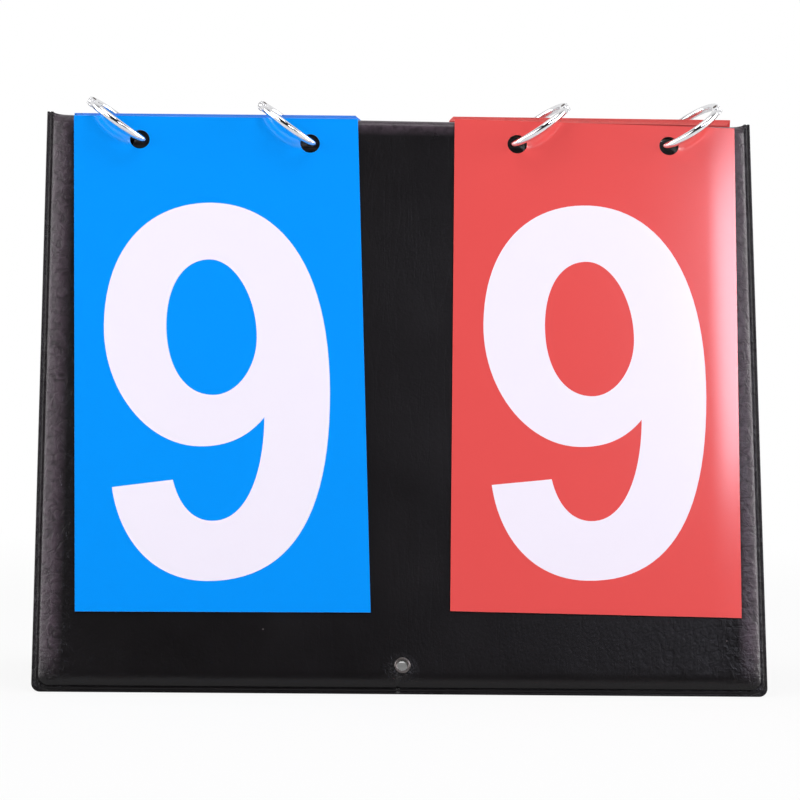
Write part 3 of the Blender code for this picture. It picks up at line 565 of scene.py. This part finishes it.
def make_cover():
    """One sheet of leatherette over both panels: welded rim, soft shoulder, round fold and an ear at each end."""
    edges = edge_insets()
    last = edges[-1]
    far_edges = [BOARD_WIDTH - inset for inset in reversed(edges)]
    columns = edges + inner_steps(last, BOARD_WIDTH - last, COLUMN_STEP) + far_edges
    top = PANEL_LENGTH - TOP_GAP
    up_panel = edges + inner_steps(last, top, ROW_STEP) + [top]
    rows = [("front", row) for row in up_panel]
    rows += [("fold", FOLD_REACH * (k / FOLD_STEPS - 1.0)) for k in range(2 * FOLD_STEPS + 1)]
    rows += [("back", row) for row in reversed(up_panel)]
    let_go()
    bpy.ops.mesh.primitive_grid_add(x_subdivisions=len(columns) - 1, y_subdivisions=len(rows) - 1,
                                    size=BOARD_WIDTH * MM)
    cover = last_made("leatherette_cover")
    places = []
    for kind, value in rows:
        back = kind == "back"
        axes = panel_axes(back)
        for column in columns:
            side = min(column, BOARD_WIDTH - column)
            sign = -1.0 if column < BOARD_WIDTH / 2.0 else 1.0
            if kind == "fold":
                places.append(fold_point(sign, side, value) * MM)
            else:
                places.append(axes @ (panel_point(sign, side, value, back) * MM))
    for vertex, place in zip(cover.data.vertices, places):
        vertex.co = place
    mend(cover)
    finish_with(cover, "SOLIDIFY", thickness=SKIN_THICKNESS * MM, offset=-1.0)
    # the foot stands on the floor
    for vertex in cover.data.vertices:
        vertex.co.z = max(vertex.co.z, 0.0)
    cutters = []
    ring_places = [JOINTS[f"{name}_ring_raise"]["pos_m"][0] for name in RING_NAMES]
    for back, depth in ((False, FRONT_HOLE_DEPTH), (True, BACK_HOLE_DEPTH)):
        axes = panel_axes(back)
        turn = -1.0 if back else 1.0
        for x in ring_places:
            centre = Matrix.Translation((turn * x, -depth * MM, 0.0))
            cutters.append(dowel(HOLE_RADIUS, DOWEL_LENGTH, 48, axes @ centre))
        centre = Matrix.Translation((0.0, (EYELET_RISE - PANEL_LENGTH) * MM, 0.0))
        cutters.append(dowel(EYELET_HOLE_RADIUS, DOWEL_LENGTH, 40, axes @ centre))
    punch(cover, cutters)
    cover.data.materials.clear()
    cover.data.materials.append(LEATHER)
    smooth(cover, 50.0)
    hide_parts("front_skin", "back_skin", "fold_strip")
    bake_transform(cover)


make_cover()


# Eyelets

def make_eyelet(side):
    """A rolled eyelet: domed flange outside, barrel through the panel, rolled edge inside."""
    profile = [
        (1.80, 3.10), (2.02, 3.10), (2.18, 3.11), (2.25, 3.18), (2.22, 3.27), (2.12, 3.34), (1.96, 3.39),
        (1.80, 3.39), (1.67, 3.34), (1.59, 3.24), (1.55, 3.08), (1.55, 0.25), (1.60, 0.12), (1.70, 0.06),
        (1.85, 0.05), (2.05, 0.06), (2.20, 0.11), (2.25, 0.16), (2.20, 0.22), (2.05, 0.25), (1.80, 0.25),
    ]
    axes = panel_axes(side == "back")
    place = axes @ Matrix.Translation((0.0, (EYELET_RISE - PANEL_LENGTH) * MM, 0.0))
    eyelet = turned(f"{side}_rolled_eyelet", profile, 48, place)
    eyelet.data.materials.append(NICKEL)
    smooth(eyelet, 50.0)
    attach(eyelet, f"{side}_panel")
    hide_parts(f"{side}_eyelet")


for side in ("front", "back"):
    make_eyelet(side)


# Numbers

# The nine as (point, handle before, handle after) in millimetres, across from its middle and down from its top
NINE_BODY = [
    ((-1.8, 0.0), (17.0, 0.0), (-19.5, 0.0)),
    ((-32.8, 37.5), (-32.8, 13.0), (-32.8, 57.0)),
    ((-4.6, 73.6), (-20.0, 73.6), (3.5, 73.6)),
    ((13.9, 64.8), (9.5, 70.5), (13.9, 80.0)),
    ((-0.9, 95.5), (9.5, 95.5), (-6.5, 95.5)),
    ((-12.3, 83.5), (-10.5, 91.0), (-18.1, 84.3)),
    ((-29.7, 85.8), (-23.9, 85.0), (-27.3, 101.5)),
    ((-2.3, 113.0), (-17.5, 113.0), (21.0, 113.0)),
    ((32.9, 57.5), (32.9, 95.0), (32.9, 17.0)),
]
NINE_EYE = [
    ((-2.2, 17.4), (5.0, 17.4), (-10.0, 17.4)),
    ((-14.7, 37.0), (-14.7, 25.5), (-14.7, 49.5)),
    ((-1.0, 58.3), (-9.5, 58.3), (6.0, 58.3)),
    ((11.6, 41.0), (11.6, 50.0), (11.6, 28.5)),
]
NUMBER_HEIGHT = 113.0
INK_THICKNESS = 0.012

# The other numbers are text of this size, thickened by so much all round. The bowl of a six closes up sooner.
TEXT_SIZE = 100.0
BOLDNESS = 4.2
BOLDNESS_OF_SIX = 3.0


def draw_nine():
    """The bold nine, drawn as two closed outlines and filled."""
    bpy.ops.object.add(type="CURVE")
    piece = last_made("number")
    curve = piece.data
    curve.dimensions = "2D"
    curve.fill_mode = "BOTH"
    curve.resolution_u = 24
    curve.extrude = 0.5 * INK_THICKNESS * MM
    for outline in (NINE_BODY, NINE_EYE):
        spline = curve.splines.new("BEZIER")
        spline.bezier_points.add(len(outline) - 1)
        spline.use_cyclic_u = True
        for point, (place, before, after) in zip(spline.bezier_points, outline):
            point.handle_left_type = "FREE"
            point.handle_right_type = "FREE"
            point.co = Vector((place[0], -place[1], 0.0)) * MM
            point.handle_left = Vector((before[0], -before[1], 0.0)) * MM
            point.handle_right = Vector((after[0], -after[1], 0.0)) * MM
    return piece


def draw_number(text):
    """A printed number as a thin closed mesh: its middle is at X = 0 and its top at Y = 0."""
    let_go()
    if text == "9":
        piece = draw_nine()
    else:
        bpy.ops.object.text_add()
        piece = last_made("number")
        curve = piece.data
        curve.body = text
        curve.size = TEXT_SIZE * MM
        curve.offset = (BOLDNESS_OF_SIX if text == "6" else BOLDNESS) * MM
        curve.extrude = 0.5 * INK_THICKNESS * MM
        curve.resolution_u = 12
    hold(piece)
    bpy.ops.object.convert(target="MESH")
    piece = bpy.context.view_layer.objects.active
    if text != "9":
        xs = [v.co.x for v in piece.data.vertices]
        ys = [v.co.y for v in piece.data.vertices]
        share = NUMBER_HEIGHT * MM / (max(ys) - min(ys))
        middle = Matrix.Translation((-0.5 * (max(xs) + min(xs)), -max(ys), 0.0))
        piece.data.transform(Matrix.Diagonal((share, share, 1.0, 1.0)) @ middle)
    mend(piece, 0.0002 * MM)
    piece.data.materials.clear()
    piece.data.materials.append(INK)
    return piece


# Leaves

# Where a pack's numbers are printed: shift to the right and drop from the top edge in millimetres, skew in degrees
PRINT_PLACES = {"blue": (0.7, 26.6, 0.0), "red": (-0.4, 25.75, -0.45)}

# The front red leaf bends back by this much, from this far right of its middle to its edge, in millimetres
BOW_START = 33.0
BOW_DEPTH = 0.2
BOW_STEPS = 9


def leaf_axes(node, back):
    """A leaf's frame read from its solid: X to the right in front, Y up, Z out, from the middle of its top edge.

    X stays the same behind, so the frame of a back leaf is left-handed. With the frame come the leaf's corners
    and the middles of its two holes.
    """
    axes = panel_axes(back).to_3x3()
    across = Vector((1.0, 0.0, 0.0))
    up = axes.col[1]
    out = axes.col[2]
    spots = [(v.co.dot(across), v.co.dot(up), v.co.dot(out)) for v in NODES[node].data.vertices]
    left = min(spots, key=lambda s: s[0] - s[1])
    right = max(spots, key=lambda s: s[0] + s[1])
    turn = math.atan2(right[1] - left[1], right[0] - left[0])
    middle = 0.5 * (min(s[2] for s in spots) + max(s[2] for s in spots))
    top = across * 0.5 * (left[0] + right[0]) + up * 0.5 * (left[1] + right[1]) + out * middle
    flat = Matrix((across, up, out)).transposed().to_4x4()
    place = Matrix.Translation(top) @ flat @ Matrix.Rotation(turn, 4, "Z")
    own = [place.inverted() @ v.co for v in NODES[node].data.vertices]
    corners = [
        min(own, key=lambda p: p.x - p.y),
        max(own, key=lambda p: p.x + p.y),
        max(own, key=lambda p: p.x - p.y),
        min(own, key=lambda p: p.x + p.y),
    ]
    holes = []
    for sign in (-1.0, 1.0):
        rim = [p for p in own if p.x * sign > 0.0 and all((p - c).xy.length > 1.0 * MM for c in corners)]
        holes.append(Vector((
            0.5 * (min(p.x for p in rim) + max(p.x for p in rim)),
            0.5 * (min(p.y for p in rim) + max(p.y for p in rim)),
        )))
    return place, corners, holes


def blank_leaf(name, corners, holes, thickness):
    """A cut and punched sheet in its own frame, with softened edges."""
    let_go()
    bpy.ops.mesh.primitive_cube_add(size=1.0)
    leaf = last_made(name)
    places = {(-1, 1): corners[0], (1, 1): corners[1], (1, -1): corners[2], (-1, -1): corners[3]}
    for vertex in leaf.data.vertices:
        corner = places[(1 if vertex.co.x > 0 else -1, 1 if vertex.co.y > 0 else -1)]
        vertex.co = Vector((corner.x, corner.y, math.copysign(0.5 * thickness, vertex.co.z)))
    cutters = [dowel(LEAF_HOLE_RADIUS, 4.0, 72, Matrix.Translation((h.x, h.y, 0.0))) for h in holes]
    punch(leaf, cutters)
    break_edges(leaf, 0.05, 2, 40.0)
    return leaf


def bow_edge(leaf):
    """Bend a sheet back a little towards its right edge, as a leaf that has been turned over many times."""
    start = BOW_START * MM
    reach = max(v.co.x for v in leaf.data.vertices)
    edit(leaf)
    for step in range(BOW_STEPS):
        bpy.ops.mesh.select_all(action="SELECT")
        cut = start + (reach - start) * step / BOW_STEPS
        bpy.ops.mesh.bisect(plane_co=(cut, 0.0, 0.0), plane_no=(1.0, 0.0, 0.0))
    let_go()
    for vertex in leaf.data.vertices:
        past = max(0.0, (vertex.co.x - start) / (reach - start))
        vertex.co.z -= BOW_DEPTH * MM * past * past


def make_leaf(colour, number, sheet_material, edge_material):
    """One score leaf: printed with its number in front and the next number behind."""
    node = f"{colour}_leaf_{number}"
    back = number != 9
    place, corners, holes = leaf_axes(node, back)
    leaf = blank_leaf(f"{colour}_score_leaf_{number}", corners, holes, LEAF_THICKNESS * MM)
    leaf.data.materials.clear()
    leaf.data.materials.append(sheet_material)
    leaf.data.materials.append(edge_material)
    for face in leaf.data.polygons:
        face.material_index = 0 if abs(face.normal.z) > 0.95 else 1
    if colour == "red" and not back:
        bow_edge(leaf)
    shift, drop, skew = PRINT_PLACES[colour]
    lift = 0.5 * (LEAF_THICKNESS + INK_THICKNESS) * MM
    printed = []
    # a leaf carries its own number, and on its other side the next one, so that both sides of the board read alike
    faces = [(str(number), -1.0 if back else 1.0)]
    if back:
        faces.append((str(number + 1), 1.0))
    for text, side in faces:
        ink = draw_number(text)
        middle = Matrix.Translation((0.0, -0.5 * NUMBER_HEIGHT * MM, 0.0))
        ink.data.transform(middle @ Matrix.Rotation(math.radians(skew), 4, "Z") @ middle.inverted())
        ink.data.transform(Matrix.Translation((shift * MM, -drop * MM, lift)))
        ink.data.transform(Matrix.Diagonal((-side if back else side, 1.0, side, 1.0)))
        printed.append(ink)
    leaf = join(*printed, leaf)
    settle(leaf, place)
    mend(leaf, 0.0002 * MM)
    leaf.name = f"{colour}_score_leaf_{number}"
    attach(leaf, node)
    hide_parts(node)


for number in range(10):
    make_leaf("blue", number, BLUE, BLUE_EDGE)
    make_leaf("red", number, RED, RED_EDGE)


# Book rings

# Lengths along the wire, in millimetres: how far from the hinge pin it starts and its plates reach, how far it
# stops short inside the clasp's sleeve, and how deep the peg is rooted
WIRE_START = 1.55
PLATE_REACH = 2.45
SLEEVE_LIP = 0.4
PEG_ROOT = 0.5


def wire(name, radius, start, end, sides=28, step=3.0):
    """Round wire along the ring's circle between two angles in degrees, spun from one round section."""
    let_go()
    steps = max(2, round(abs(end - start) / step))
    bpy.ops.mesh.primitive_circle_add(vertices=sides, radius=radius * MM, fill_type="NGON")
    piece = last_made(name)
    section = Matrix.Rotation(math.radians(start), 4, "Z") @ Matrix.Translation((RING_RADIUS * MM, 0.0, 0.0))
    settle(piece, section @ Matrix.Rotation(math.radians(90.0), 4, "X"))
    edit(piece)
    bpy.ops.mesh.select_all(action="SELECT")
    bpy.ops.mesh.spin(steps=steps, angle=math.radians(end - start), center=(0.0, 0.0, 0.0), axis=(0.0, 0.0, -1.0))
    let_go()
    mend(piece)
    return piece


def knuckle(name, towards, low, high):
    """A hinge plate: a disc whose one side is drawn out along the wire, with broken edges."""
    let_go()
    height = high - low
    bpy.ops.mesh.primitive_cylinder_add(vertices=48, radius=KNUCKLE_RADIUS * MM, depth=height * MM)
    plate = last_made(name)
    settle(plate, Matrix.Translation((0.0, 0.0, 0.5 * (low + high) * MM)))
    # the disc's points on the wire's side become the plate's square end
    half_width = PLATE_HALF_WIDTH * MM
    for vertex in plate.data.vertices:
        if vertex.co.x * towards > 0.75 * MM:
            vertex.co.y = max(-half_width, min(half_width, vertex.co.y * 1.6))
            vertex.co.x = towards * PLATE_REACH * MM
    mend(plate, 0.02 * MM)
    break_edges(plate, 0.1, 3, 50.0)
    return plate


def ring_axes(name):
    """A ring's frame from its two joints: X from its front hole to its back hole, Y up, Z square to it."""
    lean = JOINTS[f"{name}_ring_raise"]
    gate = JOINTS[f"{name}_gate_open"]
    along = Vector(lean["axis"]) * (1.0 if name.startswith("blue") else -1.0)
    square = Vector(gate["axis"]).normalized()
    up = square.cross(along).normalized()
    angle = math.radians(HINGE_ANGLE)
    centre = Vector(gate["pos_m"]) - (along * math.cos(angle) + up * math.sin(angle)) * RING_RADIUS * MM
    return Matrix.Translation(centre) @ Matrix((along, up, square)).transposed().to_4x4()


def make_ring(name):
    """A book ring: the hoop with its clasp sleeve and two cheeks, and the gate with its tongue and peg."""
    axes = ring_axes(name)
    angle = math.radians(HINGE_ANGLE)
    out = Vector((math.cos(angle), math.sin(angle), 0.0))
    along = Vector((math.sin(angle), -math.cos(angle), 0.0))
    hinge = Matrix((along, out, along.cross(out))).transposed().to_4x4()
    hinge = Matrix.Translation(out * RING_RADIUS * MM) @ hinge
    per_wire_mm = math.degrees(1.0 / RING_RADIUS)
    gap = WIRE_START * per_wire_mm
    clasp = 360.0 + CLASP_ANGLE - CLASP_HALF_GAP * per_wire_mm
    cheeks = [
        settle(knuckle("cheek", -1.0, CHEEK_INSIDE, CHEEK_OUTSIDE), hinge),
        settle(knuckle("cheek", -1.0, -CHEEK_OUTSIDE, -CHEEK_INSIDE), hinge),
    ]
    sleeve = wire("sleeve", CLASP_RADIUS, clasp - CLASP_LENGTH * per_wire_mm, clasp, step=2.0)
    hoop_wire = wire(f"{name}_ring_hoop_wire", WIRE_RADIUS, HINGE_ANGLE + gap, clasp - SLEEVE_LIP * per_wire_mm)
    break_edges(sleeve, 0.15, 3, 50.0)
    hoop = join(*cheeks, sleeve, hoop_wire)
    face = CLASP_ANGLE + CLASP_HALF_GAP * per_wire_mm
    gate = join(
        settle(knuckle("tongue", 1.0, -TONGUE_HALF, TONGUE_HALF), hinge),
        wire("peg", PEG_RADIUS, face - PEG_LENGTH * per_wire_mm, face + PEG_ROOT * per_wire_mm, sides=20, step=2.0),
        wire(f"{name}_ring_gate_wire", WIRE_RADIUS, face, HINGE_ANGLE - gap),
    )
    for piece, part in ((hoop, "hoop"), (gate, "gate")):
        settle(piece, axes)
        piece.data.materials.clear()
        piece.data.materials.append(CHROME)
        smooth(piece, 40.0)
        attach(piece, f"{name}_{part}")
        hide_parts(f"{name}_ring_{part}")


for name in RING_NAMES:
    make_ring(name)


# Finishes of the CAD pieces that stay

def finish_node(node, material):
    """Give a CAD piece a better finish."""
    slots = NODES[node].material_slots
    if len(slots) == 0:
        NODES[node].data.materials.append(material)
    for slot in slots:
        slot.material = material


for side in ("front", "back"):
    finish_node(f"{side}_lining", LINING)
    finish_node(f"{side}_board", BOARD)
    finish_node(f"{side}_pad", FOAM)
for name in RING_NAMES:
    finish_node(f"{name}_ring_pin", RIVET)


# Floor, light and camera

# What the lamps face, in metres
BOARD_MIDDLE = (0.0, -0.02, 0.08)
RED_LEAF_EDGE = (0.09, -0.02, 0.11)

# The camera's place in millimetres, its angles in degrees, and its focal length in pixels of the photograph
CAMERA_PLACE = (-52.43, -890.32, 97.75)
CAMERA_TURN = 3.428
CAMERA_TILT = 0.95
CAMERA_ROLL = 0.813
FOCAL_PIXELS = 2983.6
PICTURE_WIDTH = 800.0
SENSOR_WIDTH = 36.0


def make_floor():
    """A plain pale floor of matt paper. To the camera it fades into the white background away from the object."""
    let_go()
    bpy.ops.mesh.primitive_plane_add(size=8.0, location=(0.0, 0.0, -0.1 * MM))
    floor = settle(last_made("floor"))
    material, tree, shader, coords = new_finish("white_paper_sweep", 0.9, specular=0.0)
    shader.inputs["Base Color"].default_value = (0.62, 0.62, 0.62, 1.0)
    glow = add(tree, "Emission", {"Strength": 1.0})
    far = add(tree, "VectorMath", {0: coords}, operation="LENGTH")
    fade = add(tree, "MapRange", {"Value": far.outputs["Value"], "From Min": 200.0 * MM, "From Max": 700.0 * MM,
                                  "To Min": 0.87, "To Max": 1.0}, interpolation_type="SMOOTHSTEP")
    # none of the glow shows between the panels, where the floor lies in their shade
    split = add(tree, "SeparateXYZ", {"Vector": coords})
    beside = add(tree, "Math", {0: split.outputs["X"]}, operation="ABSOLUTE")
    beyond = add(tree, "Math", {0: split.outputs["Y"]}, operation="ABSOLUTE")
    past_side = add(tree, "MapRange", {"Value": beside.outputs[0], "From Min": 30.0 * MM, "From Max": 104.0 * MM})
    past_foot = add(tree, "MapRange", {"Value": beyond.outputs[0], "From Min": 40.0 * MM, "From Max": 44.5 * MM})
    open_floor = add(tree, "Math", {0: past_side.outputs[0], 1: past_foot.outputs[0]}, operation="MAXIMUM")
    path = add(tree, "LightPath")
    seen = add(tree, "Math", {0: path.outputs["Is Camera Ray"], 1: fade.outputs[0]}, operation="MULTIPLY")
    seen = add(tree, "Math", {0: seen.outputs[0], 1: open_floor.outputs[0]}, operation="MULTIPLY")
    mix = add(tree, "MixShader", {0: seen.outputs[0], 1: shader.outputs[0], 2: glow.outputs[0]})
    tree.links.new(mix.outputs[0], tree.nodes["Material Output"].inputs["Surface"])
    floor.data.materials.append(material)


def make_world():
    """A pale room: dim on the camera's side, bright behind, and plain white to the camera."""
    world = bpy.data.worlds.new("studio")
    world.use_nodes = True
    bpy.context.scene.world = world
    tree = world.node_tree
    background = tree.nodes["Background"]
    coords = add(tree, "TexCoord")
    split = add(tree, "SeparateXYZ", {"Vector": coords.outputs["Generated"]})
    behind = add(tree, "MapRange", {"Value": split.outputs["Y"], "From Min": -0.5, "From Max": 0.45,
                                    "To Min": 0.03, "To Max": 0.9}, interpolation_type="SMOOTHSTEP")
    path = add(tree, "LightPath")
    level = add(tree, "MixRGB", {0: path.outputs["Is Camera Ray"], 1: behind.outputs[0], 2: (1.0, 1.0, 1.0, 1.0)})
    tree.links.new(level.outputs[0], background.inputs["Color"])
    background.inputs["Strength"].default_value = 1.0


def add_softbox(name, place, aim, width, height, power, colour=(1.0, 1.0, 1.0)):
    """A soft rectangular lamp that faces a point. Its sizes are in metres and its power in watts."""
    lamp = bpy.data.lights.new(name, "AREA")
    lamp.shape = "RECTANGLE"
    lamp.size = width
    lamp.size_y = height
    lamp.energy = power
    lamp.color = colour
    piece = bpy.data.objects.new(name, lamp)
    bpy.context.collection.objects.link(piece)
    towards = Vector(aim) - Vector(place)
    piece.matrix_world = Matrix.Translation(place) @ towards.to_track_quat("-Z", "Y").to_matrix().to_4x4()


def make_camera():
    """A camera at the photograph's place: a little left of the middle, a little above, and turned slightly."""
    around = math.radians(CAMERA_TURN)
    down = math.radians(CAMERA_TILT)
    roll = math.radians(CAMERA_ROLL)
    forward = Vector((math.sin(around) * math.cos(down), math.cos(around) * math.cos(down), -math.sin(down)))
    right = Vector((math.cos(around), -math.sin(around), 0.0))
    up = right.cross(forward)
    across = right * math.cos(roll) + up * math.sin(roll)
    upright = up * math.cos(roll) - right * math.sin(roll)
    camera = bpy.data.objects.new("camera", bpy.data.cameras.new("camera"))
    bpy.context.collection.objects.link(camera)
    camera.data.sensor_width = SENSOR_WIDTH
    camera.data.lens = FOCAL_PIXELS * SENSOR_WIDTH / PICTURE_WIDTH
    camera.data.clip_start = 50.0 * MM
    axes = Matrix((across, upright, -forward)).transposed().to_4x4()
    camera.matrix_world = Matrix.Translation(Vector(CAMERA_PLACE) * MM) @ axes
    bpy.context.scene.camera = camera


make_floor()
make_world()
add_softbox("top_softbox", (0.0, -0.25, 1.1), BOARD_MIDDLE, 0.8, 0.35, 3.2)
add_softbox("left_softbox", (-0.75, -0.64, 0.6), BOARD_MIDDLE, 0.8, 0.7, 4.5)
add_softbox("right_softbox", (0.88, -0.46, 0.5), BOARD_MIDDLE, 0.8, 0.7, 2.6)
add_softbox("left_side_strip", (-1.0, -0.05, 0.35), BOARD_MIDDLE, 0.6, 0.7, 5.5)
add_softbox("right_side_strip", (1.0, -0.05, 0.35), BOARD_MIDDLE, 0.6, 0.7, 8.0)
# this one stands where the right edge of the red leaf mirrors it to the camera
add_softbox("edge_strip", (0.555, -1.03, 0.755), RED_LEAF_EDGE, 0.46, 0.22, 2.8, (0.92, 0.92, 1.08))
make_camera()

bpy.context.scene.view_settings.view_transform = "Standard"

bpy.context.view_layer.update()
